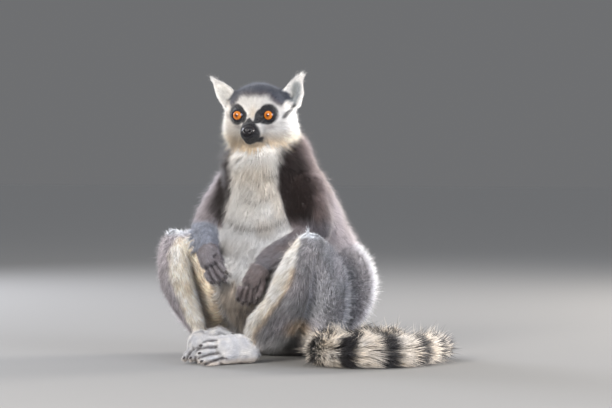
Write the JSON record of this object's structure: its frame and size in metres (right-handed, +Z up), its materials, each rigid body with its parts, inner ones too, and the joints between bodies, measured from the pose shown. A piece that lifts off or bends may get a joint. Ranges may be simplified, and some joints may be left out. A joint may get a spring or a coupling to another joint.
{
  "type": "sitting ring-tailed lemur",
  "caption": "Life-size ring-tailed lemur sitting upright, knees drawn up, feet together, hands on its belly, tail curled on the ground beside it.",
  "frame": {"origin": "on the ground, on the flat underside of the seat", "axes": "+Z up; the body faces -Y; the animal's left is +X, the side where its tail lies"},
  "size_m": [0.374, 0.3152, 0.3435],
  "materials": {
    "grey_fur": "dense soft coat, grey with darker and lighter hairs",
    "white_fur": "soft white to cream coat",
    "dark_fur": "long soft blackish-brown coat",
    "ringed_fur": "deep soft coat in black and white rings",
    "nose_leather": "moist black skin",
    "iris": "clear cornea over an orange iris with a black pupil"
  },
  "bodies": {
    "root": {"head": "white_fur", "nose": "nose_leather", "neck": "white_fur", "chest": "white_fur", "abdomen": "grey_fur", "eye_left": "iris", "eye_right": "iris", "ear_left": "white_fur", "ear_right": "white_fur", "upper_arm_left": "dark_fur", "upper_arm_right": "dark_fur", "forearm_left": "grey_fur", "forearm_right": "grey_fur", "hand_left": "grey_fur", "hand_right": "grey_fur", "thigh_left": "grey_fur", "thigh_right": "grey_fur", "shin_left": "white_fur", "shin_right": "white_fur", "foot_left": "white_fur", "foot_right": "white_fur", "tail_1": "ringed_fur", "tail_2": "ringed_fur", "tail_3": "ringed_fur", "tail_4": "ringed_fur", "tail_5": "ringed_fur", "tail_6": "ringed_fur", "tail_7": "ringed_fur"}
  },
  "joints": []
}
